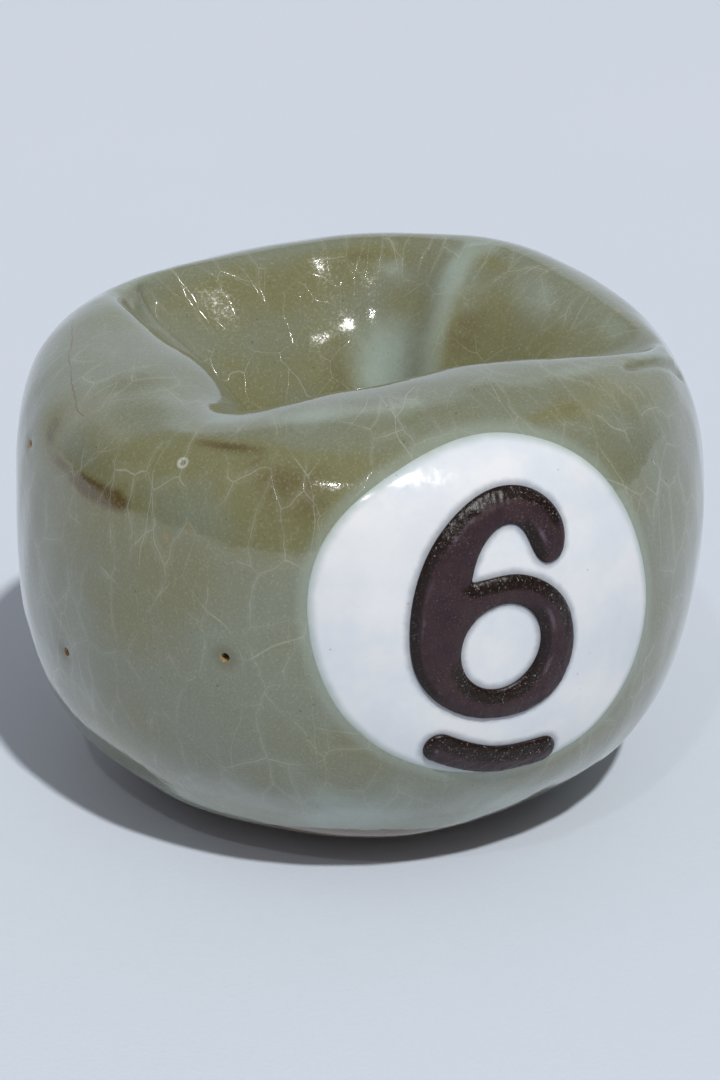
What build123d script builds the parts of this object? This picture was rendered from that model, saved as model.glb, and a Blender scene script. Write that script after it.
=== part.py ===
from build123d import *
import os
from math import cos, exp, radians, sin

# A hollow hand-built stoneware vessel made like a squashed number 6 pool ball.
# Millimetres, +Z up. The origin is the middle of the bare foot, on the surface that it
# stands on. The number disc faces -Y. Azimuths are degrees from -Y towards +X.

# ---- Driving dimensions -----------------------------------------------------------------
WALL = 6.0                # clay wall, glaze not counted
GLAZE = 0.6               # thickness of the celadon glaze
GLAZE_LINE = 4.6          # height at which the glaze stops above the foot
FOOT_HEIGHT = 3.0         # slab of bare clay under the ball
SEAM_HEIGHT = 43.0        # joint between the two pinched halves
SEAM_CORE_RADIUS = 34.0   # inside this radius the pressed-in well is all upper half
SEAM_CORE_BOTTOM = 16.0

DISC_DEPTH = 3.2          # depth of the pocket that holds the white disc
NUMBER_SIDE = 0.8         # the number plane's origin, to the right of the axis
NUMBER_HEIGHT = 47.2      # its height
NUMBER_REACH = 44.0       # how far it lies in front of the axis
NUMBER_PITCH = 8.9        # how far the plane leans back
NUMBER_LEAN = 11.0        # clockwise turn of the digit on its plane
RELIEF = 1.3              # height of the digit and its bar above the disc

REGION_RADIUS = 70.0      # clears the widest part of the body
PLUG_REACH = 14.0         # reaches through the front wall from the number plane

# Outlines on the number plane, as the digit is read: hand-cut disc, digit and bar
DISC_OUTLINE = (
    (-2.1, 27.1), (11.3, 24.3), (23.4, 11.3), (27.8, -5.1), (22.0, -18.1), (11.0, -23.9),
    (-2.7, -24.6), (-16.5, -19.2), (-25.9, -6.5), (-26.9, 10.5), (-15.7, 22.2),
)
# The digit's outline runs from the notch between stem and bowl, over the top, and back to it
SIX_OUTLINE = (
    (-5.8, 6.2), (-5.5, 9.3), (-4.3, 12.4), (-2.4, 14.4), (-0.2, 14.8), (1.6, 13.5),
    (3.2, 11.1), (5.4, 9.4), (7.4, 10.2), (8.1, 12.7), (6.9, 16.4), (3.5, 19.3),
    (-0.5, 20.2), (-5.6, 18.8), (-9.9, 15.0), (-12.7, 10.0), (-13.8, 4.0), (-13.3, -2.6),
    (-10.8, -9.0), (-5.6, -13.3), (2.8, -14.7), (8.3, -13.1), (11.7, -10.0), (12.9, -5.3),
    (12.2, -0.7), (9.8, 3.8), (6.0, 6.6), (0.4, 7.7), (-3.2, 6.9), (-5.8, 6.2),
)
SIX_HOLE_CENTRE = (0.8, -3.4)
SIX_HOLE_RADII = (6.2, 6.7)
BAR_LINE = ((-5.0, -19.9), (3.8, -21.9), (12.3, -20.6))
BAR_WIDTH = 4.6

VENT_DIAMETER = 1.4       # pinholes that let the trapped air out
VENTS = ((-42.0, 43.6), (-77.0, 34.0), (-93.0, 62.3))  # azimuth, height

# ---- Folds of the pressed-in well, by azimuth -------------------------------------------
BACK_LEFT = -134.0        # its three corners
FRONT_LEFT = -58.0
RIGHT = 65.0
PLEAT = 124.0             # and the pleat that stands out of its back wall

# ---- Control rings of the outer skin, from the foot's edge over the crest into the well --
# Each ring: radius, its folds, height, its folds. A fold is (azimuth, spread, change).
CONTROL_RINGS = (
    (26.0, [(-81, 40, 1.5)],
     0.0, []),
    (28.5, [(-81, 40, 2), (-49, 25, -1.5)],
     0.6, []),
    (37.0, [(-95, 45, 3), (49, 40, 3), (-49, 28, -2.5), (20, 20, -1.3)],
     6.0, [(-71, 40, -0.5)]),
    (50.0, [(-100, 30, 2.6), (39, 35, 1.3), (-72, 14, -0.8)],
     18.0, []),
    (54.3, [(-101, 50, 0.6)],
     38.0, [(69, 60, 1)]),
    (54.0, [(64, 50, 0.2)],
     57.0, [(69, 50, 1.2), (-111, 50, -0.5)]),
    (50.0, [(-21, 40, 0.5), (100, 30, 0.9), (-120, 25, 2), (72, 14, -0.7)],
     70.0, [(159, 70, 1.6), (74, 26, -1.8), (118, 25, 1.4)]),
    (41.0, [(-21, 45, 0.5), (RIGHT, 28, 6.5), (-125, 25, 1.8), (159, 60, -3)],
     75.5, [(159, 70, 2.2), (76, 24, -3.4), (118, 25, 1.9), (FRONT_LEFT, 20, -2), (-166, 25, -1.5),
            (15, 35, 1.5)]),
    (35.0, [(-6, 42, -6.5), (RIGHT, 24, 11), (BACK_LEFT, 22, 6), (159, 50, -1), (-88, 24, -3)],
     76.0, [(159, 70, 2.2), (74, 20, -4), (118, 25, 1.6), (FRONT_LEFT, 18, -3.5), (BACK_LEFT, 25, -1.5),
            (20, 36, 2.5)]),
    (29.0, [(-6, 45, -8), (RIGHT, 24, 13), (BACK_LEFT, 20, 9), (159, 50, 2), (-88, 24, -4),
            (PLEAT, 15, -2.5)],
     73.0, [(159, 70, 2), (RIGHT, 20, -4), (FRONT_LEFT, 16, -4.5), (BACK_LEFT, 20, -4), (20, 36, 2.5)]),
    (23.0, [(-6, 45, -4), (RIGHT, 26, 9), (BACK_LEFT, 20, 5), (-88, 24, -3), (PLEAT, 17, -4)],
     64.0, [(159, 80, 1), (RIGHT, 25, 4)]),
    (16.0, [(RIGHT, 30, 3), (PLEAT, 20, -2.5)],
     50.0, []),
    (12.0, [], 36.0, []),
    (8.0, [], 30.0, []),
    (0.0, [], 30.0, []),
)
RING_POINTS = 36          # points around each section
SECTIONS = 22             # sections from the foot's edge to the well's floor
LAST_SECTION = 0.975      # share of the meridian at which the flat well floor starts
AZIMUTHS = [index * 360.0 / RING_POINTS for index in range(RING_POINTS)]

# ---- Hollow inside, with its places as shares of the meridian ---------------------------
OUTER_START = 0.10        # the outer wall is followed from here
OUTER_END = 0.42          # to here, short of the crest
OUTER_SECTIONS = 7
INNER_START = 0.72        # the well's wall is followed from here
INNER_END = 0.945         # down to here
INNER_SECTIONS = 6
ROOF_RISE = 1.5           # the hollow's roof above the mean of the two walls
FLOOR_TAPER = 0.80        # the flat floor against the first section
WELL_TAPER = 0.70         # the flat end under the well against the last section
WELL_UNDERSIDE = 24.0

# ---- Form of the skin -------------------------------------------------------------------
def folded(base, folds, azimuth):
    """A ring's radius or height at one azimuth: its base plus its smooth local folds."""
    total = base
    for centre, spread, change in folds:
        turn = (azimuth - centre + 180.0) % 360.0 - 180.0
        total += change * exp(-((turn / spread) ** 2))
    return total


def blend_weights(share):
    """Weights of the control rings at a share of the meridian (clamped cubic B-spline)."""
    count = len(CONTROL_RINGS)
    inner = count - 3
    knots = [0.0] * 3 + [index / inner for index in range(inner + 1)] + [1.0] * 3
    share = min(share, 1.0 - 1e-9)
    weights = [1.0 if knots[i] <= share < knots[i + 1] else 0.0 for i in range(count + 3)]
    for degree in range(1, 4):
        for i in range(count + 3 - degree):
            rise = knots[i + degree] - knots[i]
            fall = knots[i + degree + 1] - knots[i + 1]
            left = (share - knots[i]) / rise * weights[i] if rise > 0 else 0.0
            right = (knots[i + degree + 1] - share) / fall * weights[i + 1] if fall > 0 else 0.0
            weights[i] = left + right
    return weights[:count]


def skin_point(azimuth, share):
    """A point of the glazed outer skin."""
    radius = 0.0
    height = 0.0
    for weight, ring in zip(blend_weights(share), CONTROL_RINGS):
        if weight > 0.0:
            radius += weight * folded(ring[0], ring[1], azimuth)
            height += weight * folded(ring[2], ring[3], azimuth)
    turn = radians(azimuth)
    return Vector(radius * sin(turn), -radius * cos(turn), height)


def skin_normal(azimuth, share):
    """The skin's outward normal, by small differences."""
    step = 1e-4
    along = skin_point(azimuth, share + step) - skin_point(azimuth, max(share - step, 0.0))
    around = skin_point(azimuth + 0.01, share) - skin_point(azimuth - 0.01, share)
    return around.cross(along).normalized()


def buried_point(azimuth, share, depth):
    """A point that lies a given depth below the skin, square to it."""
    return skin_point(azimuth, share) - skin_normal(azimuth, share) * depth


def ring_wire(points):
    """A smooth closed wire through the points of one section."""
    return Wire([Edge.make_spline(points, periodic=True)])


def body_form(depth):
    """The whole squashed ball, from its foot to the well's floor, at a depth below the skin."""
    foot = []
    for azimuth in AZIMUTHS:
        edge = skin_point(azimuth, 0.0)
        foot.append(edge - Vector(edge.X, edge.Y, 0).normalized() * depth + Vector(0, 0, depth))
    sections = [foot]
    for index in range(1, SECTIONS - 1):
        share = LAST_SECTION * index / (SECTIONS - 1)
        sections.append([buried_point(azimuth, share, depth) for azimuth in AZIMUTHS])
    sections.append([skin_point(azimuth, LAST_SECTION) - Vector(0, 0, depth) for azimuth in AZIMUTHS])
    return Solid.make_loft([ring_wire(points) for points in sections])


def hollow_form():
    """The trapped air: it follows the wall's thickness, but stays out of the sharp crest."""
    depth = GLAZE + WALL
    outer_step = (OUTER_END - OUTER_START) / OUTER_SECTIONS
    inner_step = (INNER_END - INNER_START) / INNER_SECTIONS
    outer = []
    for index in range(OUTER_SECTIONS + 1):
        share = OUTER_START + index * outer_step
        outer.append([buried_point(azimuth, share, depth) for azimuth in AZIMUTHS])
    inner = []
    for index in range(INNER_SECTIONS + 1):
        share = INNER_START + index * inner_step
        inner.append([buried_point(azimuth, share, depth) for azimuth in AZIMUTHS])
    floor = [Vector(p.X * FLOOR_TAPER, p.Y * FLOOR_TAPER, FOOT_HEIGHT + WALL) for p in outer[0]]
    roof = [(a + b) * 0.5 + Vector(0, 0, ROOF_RISE) for a, b in zip(outer[-1], inner[0])]
    well_end = [Vector(p.X * WELL_TAPER, p.Y * WELL_TAPER, WELL_UNDERSIDE) for p in inner[-1]]
    sections = [floor] + outer + [roof] + inner + [well_end]
    return Solid.make_loft([ring_wire(points) for points in sections])


def skin_share(azimuth, height):
    """Share of the meridian at which the outer wall reaches a height."""
    low, high = 0.0, OUTER_END
    for _ in range(40):
        middle = (low + high) / 2
        if skin_point(azimuth, middle).Z < height:
            low = middle
        else:
            high = middle
    return (low + high) / 2


os.makedirs("parts", exist_ok=True)

glazed_form = body_form(0.0)
clay_form = body_form(GLAZE)
hollow = hollow_form()
pocket_form = body_form(DISC_DEPTH)
relief_form = body_form(-RELIEF)
number_plane = Plane(
    origin=(NUMBER_SIDE, -NUMBER_REACH, NUMBER_HEIGHT),
    x_dir=(cos(radians(NUMBER_LEAN)), 0, -sin(radians(NUMBER_LEAN))),
    z_dir=(0, -cos(radians(NUMBER_PITCH)), sin(radians(NUMBER_PITCH))),
)


# ---- Foot: a slab of bare clay, flat below ------------------------------------------------
with BuildPart() as foot_pad:
    add(glazed_form)
    split(bisect_by=Plane.XY.offset(FOOT_HEIGHT), keep=Keep.BOTTOM)

# ---- The region below the seam, without the core that holds the well ----------------------
with BuildPart() as lower_region:
    with BuildSketch(Plane.XY.offset(FOOT_HEIGHT)):
        Circle(REGION_RADIUS)
    extrude(amount=SEAM_HEIGHT - FOOT_HEIGHT)
    with BuildSketch(Plane.XY.offset(SEAM_CORE_BOTTOM)):
        Circle(SEAM_CORE_RADIUS)
    extrude(amount=SEAM_HEIGHT - SEAM_CORE_BOTTOM, mode=Mode.SUBTRACT)

# ---- A plug the shape of the disc, square through the front wall --------------------------
with BuildPart() as disc_plug:
    with BuildSketch(number_plane):
        with BuildLine():
            Spline(*DISC_OUTLINE, periodic=True)
        make_face()
    extrude(amount=PLUG_REACH, both=True)

# ---- Pinholes, square through the wall ----------------------------------------------------
with BuildPart() as vent_pins:
    for azimuth, height in VENTS:
        share = skin_share(azimuth, height)
        vent_plane = Plane(origin=skin_point(azimuth, share), z_dir=skin_normal(azimuth, share))
        with BuildSketch(vent_plane):
            Circle(VENT_DIAMETER / 2)
        extrude(amount=2 * WALL, both=True)

# ---- The pocket that holds the disc ---------------------------------------------------------
with BuildPart() as disc_recess:
    add(disc_plug.part)
    add(pocket_form, mode=Mode.SUBTRACT)

# ---- Lower half of the ball ----------------------------------------------------------------
with BuildPart() as lower_shell:
    add(clay_form)
    add(lower_region.part, mode=Mode.INTERSECT)
    add(hollow, mode=Mode.SUBTRACT)
    add(disc_recess.part, mode=Mode.SUBTRACT)
    add(vent_pins.part, mode=Mode.SUBTRACT)

# ---- Upper half, with its crest pressed down into the well ---------------------------------
with BuildPart() as upper_shell:
    add(clay_form)
    split(bisect_by=Plane.XY.offset(FOOT_HEIGHT), keep=Keep.TOP)
    add(lower_region.part, mode=Mode.SUBTRACT)
    add(hollow, mode=Mode.SUBTRACT)
    add(disc_recess.part, mode=Mode.SUBTRACT)
    add(vent_pins.part, mode=Mode.SUBTRACT)

# ---- Glaze: one glass skin over both halves, open at the disc and above the foot ----------
with BuildPart() as glaze_coat:
    add(glazed_form)
    add(clay_form, mode=Mode.SUBTRACT)
    split(bisect_by=Plane.XY.offset(GLAZE_LINE), keep=Keep.TOP)
    add(disc_plug.part, mode=Mode.SUBTRACT)
    add(vent_pins.part, mode=Mode.SUBTRACT)

# ---- White disc let into the front wall, flush with the glaze ------------------------------
with BuildPart() as number_disc:
    add(disc_plug.part)
    add(glazed_form, mode=Mode.INTERSECT)
    add(pocket_form, mode=Mode.SUBTRACT)

# ---- Digit six, raised on the disc -----------------------------------------------------------
with BuildPart() as digit_six:
    with BuildSketch(number_plane):
        with BuildLine():
            Spline(*SIX_OUTLINE)
        make_face()
        with Locations(SIX_HOLE_CENTRE):
            Ellipse(*SIX_HOLE_RADII, mode=Mode.SUBTRACT)
    extrude(amount=PLUG_REACH)
    add(relief_form, mode=Mode.INTERSECT)
    add(glazed_form, mode=Mode.SUBTRACT)

# ---- Short bar under the digit ---------------------------------------------------------------
with BuildPart() as underline_bar:
    with BuildSketch(number_plane):
        with BuildLine():
            ThreePointArc(*BAR_LINE)
        trace(line_width=BAR_WIDTH)
        with Locations(BAR_LINE[0], BAR_LINE[2]):
            Circle(BAR_WIDTH / 2)
    extrude(amount=PLUG_REACH)
    add(relief_form, mode=Mode.INTERSECT)
    add(glazed_form, mode=Mode.SUBTRACT)

foot_pad.part.label = "foot_pad"
lower_shell.part.label = "lower_shell"
upper_shell.part.label = "upper_shell"
glaze_coat.part.label = "glaze_coat"
number_disc.part.label = "number_disc"
digit_six.part.label = "digit_six"
underline_bar.part.label = "underline_bar"

export_step(foot_pad.part, "parts/foot_pad.step")
export_step(lower_shell.part, "parts/lower_shell.step")
export_step(upper_shell.part, "parts/upper_shell.step")
export_step(glaze_coat.part, "parts/glaze_coat.step")
export_step(number_disc.part, "parts/number_disc.step")
export_step(digit_six.part, "parts/digit_six.step")
export_step(underline_bar.part, "parts/underline_bar.step")
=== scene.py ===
"""A squashed number 6 ball in crackled celadon stoneware. Metres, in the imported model's frame."""
import math

import bmesh
import bpy
import numpy as np
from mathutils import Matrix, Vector
from mathutils.bvhtree import BVHTree


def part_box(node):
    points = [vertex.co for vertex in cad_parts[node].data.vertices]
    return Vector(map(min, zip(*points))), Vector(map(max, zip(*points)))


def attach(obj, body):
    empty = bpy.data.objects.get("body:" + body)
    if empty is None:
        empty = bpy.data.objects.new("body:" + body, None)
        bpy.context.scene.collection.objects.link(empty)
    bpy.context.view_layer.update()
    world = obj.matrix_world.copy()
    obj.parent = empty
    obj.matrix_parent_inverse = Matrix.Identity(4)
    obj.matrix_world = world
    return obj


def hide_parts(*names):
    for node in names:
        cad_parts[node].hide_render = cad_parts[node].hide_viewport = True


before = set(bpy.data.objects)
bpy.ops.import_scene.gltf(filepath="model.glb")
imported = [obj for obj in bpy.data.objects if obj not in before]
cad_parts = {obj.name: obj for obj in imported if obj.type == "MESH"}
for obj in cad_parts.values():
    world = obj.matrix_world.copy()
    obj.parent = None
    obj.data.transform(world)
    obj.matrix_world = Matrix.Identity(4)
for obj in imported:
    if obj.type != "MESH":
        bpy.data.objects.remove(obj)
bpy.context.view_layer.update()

MM = 0.001
CAMERA_AZIMUTH = -21.0     # from -Y towards +X
CAMERA_ELEVATION = 25.0
CAMERA_DISTANCE = 0.450
CAMERA_TARGET_HEIGHT = 0.0387
CAMERA_LENS = 93.5

GLAZE = 0.55               # mm, a little less than the CAD skin, so that it stays off the clay
GLAZE_LINE = 3.6           # mm, mean height at which the ragged edge of the glaze ends
HEM_HEIGHT = 3.6           # mm, below which the glaze is so thin that the clay scorched through
HEM_RISE = 6.3             # mm, how much higher that is at the front
HEM_AZIMUTH = -21.0
HEM_SPREAD = 44.0
NUMBER_SIDE = 0.8          # mm, origin of the plane that the disc and digit are laid out on
NUMBER_HEIGHT = 47.2
NUMBER_REACH = 44.0
NUMBER_PITCH = 8.9
NUMBER_LEAN = 11.0
DISC_DEPTH = 3.0           # how deep the disc's back lies
RELIEF = 1.3               # height of the digit and its bar above the skin
SINK = 0.5                 # and how far they reach below it
ROUNDING = 0.88            # of their edges
VOXEL = 0.2                # fineness of their mesh
VENTS = ((-42.0, 43.6), (-77.0, 34.0), (-93.0, 62.3))  # azimuth, height
VENT_RADIUS = 0.62
VENT_DEPTH = 2.6

COLUMN_STEP = 0.9          # degrees between the skin's columns, and close to a pinhole
COLUMN_FINE = 0.16
COLUMN_REACH = 1.6         # how far from a pinhole they stay fine
ROW_STEP = 0.0040          # share of the meridian between its rows, and close to a pinhole
ROW_FINE = 0.0008
ROW_REACH = 0.0045
LAST_SHARE = 0.9995        # the rows end just short of the axis

# The glaze's crackle is laid out on a cylinder, in mm around and mm along the meridian
UNROLLED_RADIUS = 50.0
WELL_START = 112.0         # mm along, where the crest turns down into the well
SEAM_START = 148.0         # mm around, where the cylinder is about to close
MERIDIAN = 155.0           # mm along, from the foot's edge to the well's floor, about

# Lines pressed into the clay: (azimuth, share of the meridian) stations, depth and width in mm,
# and the part of the length over which each end fades. A negative depth is a ridge.
CREASES = (
    (((-139, 0.60), (-138, 0.68), (-139, 0.74), (-143, 0.80)), 0.42, 1.1, 0.0),
    (((-133, 0.62), (-131, 0.69), (-132, 0.75), (-136, 0.80)), -0.25, 1.4, 0.0),
    (((-146, 0.63), (-145, 0.70), (-147, 0.76)), -0.12, 1.6, 0.0),
    (((44, 0.513), (49, 0.503), (52.5, 0.496), (56, 0.478), (59, 0.460), (62, 0.432)), 0.55, 0.8, 0.0),
    (((48, 0.522), (53, 0.513), (57, 0.497), (61, 0.475)), -0.30, 1.1, 0.0),
    (((121, 0.58), (126, 0.66), (124, 0.72), (121, 0.77)), -0.4, 2.6, 0.0),
    (((-102, 0.154), (-86, 0.133), (-70, 0.118)), -0.35, 1.8, 0.45),
    (((-85, 0.126), (-66, 0.114), (-48, 0.105), (-30, 0.098), (-12, 0.098), (4, 0.104), (22, 0.113)),
     -1.25, 4.4, 0.33),
)

# Thumb-made swellings: azimuth, share of the meridian, height and width in mm
BULGES = (
    (-119.0, 0.600, 1.5, 8.0), (176.0, 0.660, -0.55, 7.0), (180.0, 0.800, 1.5, 8.5),
    (172.0, 0.745, 0.45, 4.0),
)
# Two fine brown cracks over the left lobe, as share of the meridian against azimuth
CRACKS = (
    ((-129, 0.454), (-115, 0.482), (-107.5, 0.480), (-100.5, 0.470), (-89.5, 0.454), (-83.5, 0.438),
     (-79.5, 0.436)),
    ((-109, 0.430), (-107.5, 0.394), (-100, 0.390), (-93.5, 0.368)),
)
BLISTER = (-52.5, 0.432)   # burst bubble in the glaze: azimuth, share of the meridian

# Folds of the pressed-in well, by azimuth
BACK_LEFT = -134.0
FRONT_LEFT = -58.0
RIGHT = 65.0
PLEAT = 124.0

# Control rings of the skin, from the foot's edge over the crest to the well's floor, in mm:
# radius, its folds, height, its folds. A fold is (azimuth, spread, change).
CONTROL_RINGS = (
    (26.0, [(-81, 40, 1.5)],
     0.0, []),
    (28.5, [(-81, 40, 2), (-49, 25, -1.5)],
     0.6, []),
    (37.0, [(-95, 45, 3), (49, 40, 3), (-49, 28, -2.5), (20, 20, -1.3)],
     6.0, [(-71, 40, -0.5)]),
    (50.0, [(-100, 30, 2.6), (39, 35, 1.3), (-72, 14, -0.8)],
     18.0, []),
    (54.3, [(-101, 50, 0.6)],
     38.0, [(69, 60, 1)]),
    (54.0, [(64, 50, 0.2)],
     57.0, [(69, 50, 1.2), (-111, 50, -0.5)]),
    (50.0, [(-21, 40, 0.5), (100, 30, 0.9), (-120, 25, 2), (72, 14, -0.7)],
     70.0, [(159, 70, 1.6), (74, 26, -1.8), (118, 25, 1.4)]),
    (41.0, [(-21, 45, 0.5), (RIGHT, 28, 6.5), (-125, 25, 1.8), (159, 60, -3)],
     75.5, [(159, 70, 2.2), (76, 24, -3.4), (118, 25, 1.9), (FRONT_LEFT, 20, -2), (-166, 25, -1.5),
            (15, 35, 1.5)]),
    (35.0, [(-6, 42, -6.5), (RIGHT, 24, 11), (BACK_LEFT, 22, 6), (159, 50, -1), (-88, 24, -3)],
     76.0, [(159, 70, 2.2), (74, 20, -4), (118, 25, 1.6), (FRONT_LEFT, 18, -3.5), (BACK_LEFT, 25, -1.5),
            (20, 36, 2.5)]),
    (29.0, [(-6, 45, -8), (RIGHT, 24, 13), (BACK_LEFT, 20, 9), (159, 50, 2), (-88, 24, -4),
            (PLEAT, 15, -2.5)],
     73.0, [(159, 70, 2), (RIGHT, 20, -4), (FRONT_LEFT, 16, -4.5), (BACK_LEFT, 20, -4), (20, 36, 2.5)]),
    (23.0, [(-6, 45, -4), (RIGHT, 26, 9), (BACK_LEFT, 20, 5), (-88, 24, -3), (PLEAT, 17, -4)],
     64.0, [(159, 80, 1), (RIGHT, 25, 4)]),
    (16.0, [(RIGHT, 30, 3), (PLEAT, 20, -2.5)],
     50.0, []),
    (12.0, [], 36.0, []),
    (8.0, [], 30.0, []),
    (0.0, [], 30.0, []),
)

# Where the glaze ran thick, and where it stayed thin, with painted light and shade among them:
# strength, azimuth, share of the meridian, degrees wide, share tall
POOLS_AND_PAINTED_DARK = (
    (0.40, -36, 0.43, 14, 0.035), (0.35, -30, 0.395, 9, 0.05), (0.60, -46, 0.468, 9, 0.010),
    (0.30, -20, 0.45, 30, 0.02), (0.45, 20, 0.474, 10, 0.010), (0.25, 40, 0.46, 20, 0.04),
    (0.40, -165, 0.68, 32, 0.07), (0.20, 178, 0.72, 12, 0.08), (0.45, 168, 0.79, 10, 0.05),
    (0.35, 141, 0.71, 8, 0.02), (0.35, 119, 0.615, 9, 0.02), (0.85, 112, 0.735, 13, 0.06),
    (0.40, 88, 0.71, 16, 0.05), (0.30, 160, 0.64, 14, 0.025), (0.30, -128, 0.60, 10, 0.03),
    (0.25, -142, 0.79, 12, 0.05), (0.30, 0, 0.90, 180, 0.07), (1.60, -64, 0.092, 42, 0.036),
    # Painted reflection: the chain from azimuth -86 to -64, near shares 0.37 to 0.41, darkens a band on
    # the left shoulder where a dark room is mirrored.
    (0.45, -86, 0.412, 2.4, 0.010), (0.55, -86, 0.393, 2.6, 0.013), (0.75, -80, 0.380, 4.5, 0.010),
    (0.95, -72, 0.375, 5, 0.010), (0.80, -64, 0.374, 4.5, 0.010),
    # Painted shade: these two darken the left side, which the key lamp barely reaches.
    (0.30, -70, 0.30, 26, 0.08), (0.30, -66, 0.43, 18, 0.03),
)
THIN_AND_PAINTED_LIGHT_SPOTS = (
    (0.55, 150, 0.665, 8, 0.025), (0.95, 147, 0.770, 17, 0.050), (0.32, 127, 0.655, 6, 0.06),
    # Painted light: the broad spots at share 0.53 on the lip, and those at shares 0.115 to 0.165 on the
    # lower front belly, stand in for pale surroundings mirrored there.
    (0.32, 127, 0.73, 7, 0.05), (0.30, -60, 0.53, 60, 0.03), (0.35, 20, 0.53, 60, 0.018),
    (0.35, 10, 0.14, 75, 0.030), (0.35, -20, 0.115, 40, 0.022), (0.30, -30, 0.165, 28, 0.035),
    # Painted light: the spot at azimuth 90 brightens the right inner slope of the well, which lies in
    # shade.
    (0.25, -130, 0.54, 25, 0.04), (0.40, 90, 0.63, 30, 0.065),
)

# Outlines on the number plane, in mm, as the digit is read
DISC_OUTLINE = (
    (-2.1, 27.1), (11.3, 24.3), (23.4, 11.3), (27.8, -5.1), (22.0, -18.1), (11.0, -23.9),
    (-2.7, -24.6), (-16.5, -19.2), (-25.9, -6.5), (-26.9, 10.5), (-15.7, 22.2),
)
SIX_OUTLINE = (
    (-5.8, 6.2), (-5.5, 9.3), (-4.3, 12.4), (-2.4, 14.4), (-0.2, 14.8), (1.6, 13.5),
    (3.2, 11.1), (5.4, 9.4), (7.4, 10.2), (8.1, 12.7), (6.9, 16.4), (3.5, 19.3),
    (-0.5, 20.2), (-5.6, 18.8), (-9.9, 15.0), (-12.7, 10.0), (-13.8, 4.0), (-13.3, -2.6),
    (-10.8, -9.0), (-5.6, -13.3), (2.8, -14.7), (8.3, -13.1), (11.7, -10.0), (12.9, -5.3),
    (12.2, -0.7), (9.8, 3.8), (6.0, 6.6), (0.4, 7.7), (-3.2, 6.9), (-5.8, 6.2),
)
SIX_HOLE_CENTRE = (0.8, -3.4)
SIX_HOLE_RADII = (6.2, 6.7)
BAR_LINE = ((-5.0, -19.9), (3.8, -21.9), (12.3, -20.6))
BAR_WIDTH = 4.6

# The studio, as linear light: what the glaze mirrors, and what lights the shadows
ROOM = (0.020, 0.016, 0.013, 1)
CEILING = (0.12, 0.13, 0.14, 1)
BACKDROP = (0.58, 0.65, 0.73, 1)
FILL_LOW = (0.235, 0.213, 0.207, 1)
FILL_HIGH = (0.36, 0.37, 0.405, 1)


# ---- Camera ----
def direction(azimuth, elevation):
    """The unit vector towards an azimuth, from -Y towards +X, and an elevation in degrees."""
    turn, rise = math.radians(azimuth), math.radians(elevation)
    return Vector((math.sin(turn) * math.cos(rise), -math.cos(turn) * math.cos(rise), math.sin(rise)))


def make_camera():
    """The photograph's viewpoint."""
    camera = bpy.data.objects.new("camera", bpy.data.cameras.new("camera"))
    bpy.context.collection.objects.link(camera)
    towards = direction(CAMERA_AZIMUTH, CAMERA_ELEVATION)
    target = Vector((0, 0, CAMERA_TARGET_HEIGHT))
    camera.location = target + towards * CAMERA_DISTANCE
    camera.rotation_euler = (-towards).to_track_quat("-Z", "Y").to_euler()
    camera.data.sensor_width = 36.0
    camera.data.lens = CAMERA_LENS
    camera.data.clip_start = 0.01
    bpy.context.scene.camera = camera


# ---- Form of the skin, the same formula as the CAD model's ----
def wrapped(angle):
    """An angle, or the way from one angle to another, as -180 to 180 degrees."""
    return (angle + 180.0) % 360.0 - 180.0


def bell(away, width):
    """1 at a place, and falling off smoothly away from it."""
    return np.exp(-((away / width) ** 2))


def ring_values(base, folds, azimuths):
    """A control ring's radius or height at each azimuth."""
    total = np.full(azimuths.shape, float(base))
    for centre, spread, change in folds:
        total += change * bell(wrapped(azimuths - centre), spread)
    return total


def blend_weights(shares):
    """Weights of the control rings at each share of the meridian (clamped cubic B-spline)."""
    count = len(CONTROL_RINGS)
    inner = count - 3
    knots = np.concatenate([np.zeros(3), np.linspace(0, 1, inner + 1), np.ones(3)])
    shares = np.minimum(shares, 1 - 1e-9)[:, None]
    weights = ((knots[:-1] <= shares) & (shares < knots[1:])).astype(float)
    for degree in range(1, 4):
        rise = knots[degree:-1] - knots[:-degree - 1]
        fall = knots[degree + 1:] - knots[1:-degree]
        left = np.where(rise > 0, (shares - knots[:-degree - 1]) / np.where(rise > 0, rise, 1), 0)
        right = np.where(fall > 0, (knots[degree + 1:] - shares) / np.where(fall > 0, fall, 1), 0)
        weights = left * weights[:, :-1] + right * weights[:, 1:]
    return weights


def ringed(azimuths, radius, height):
    """Points around the axis at a radius and a height, either one number or one per azimuth."""
    turn = np.radians(azimuths)
    return np.stack([radius * np.sin(turn), -radius * np.cos(turn), height + 0 * turn], -1)


def skin_grid(azimuths, shares):
    """Points of the skin in mm, one row per share and one column per azimuth."""
    radii = np.array([ring_values(*ring[:2], azimuths) for ring in CONTROL_RINGS])
    heights = np.array([ring_values(*ring[2:], azimuths) for ring in CONTROL_RINGS])
    weights = blend_weights(shares)
    return ringed(azimuths, weights @ radii, weights @ heights)


def skin_place(azimuth, share):
    """One point of the skin in mm."""
    return skin_grid(np.array([azimuth]), np.array([share]))[0, 0]


def gap(points, place):
    """Distance in mm from each point to a place."""
    return np.linalg.norm(points - place, axis=-1)


def grid_normals(points):
    """Outward normals of a grid that is closed around its columns."""
    along = np.gradient(points, axis=0)
    around = np.roll(points, -1, 1) - np.roll(points, 1, 1)
    normals = np.cross(around, along)
    return normals / (np.linalg.norm(normals, axis=2, keepdims=True) + 1e-12)


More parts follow.
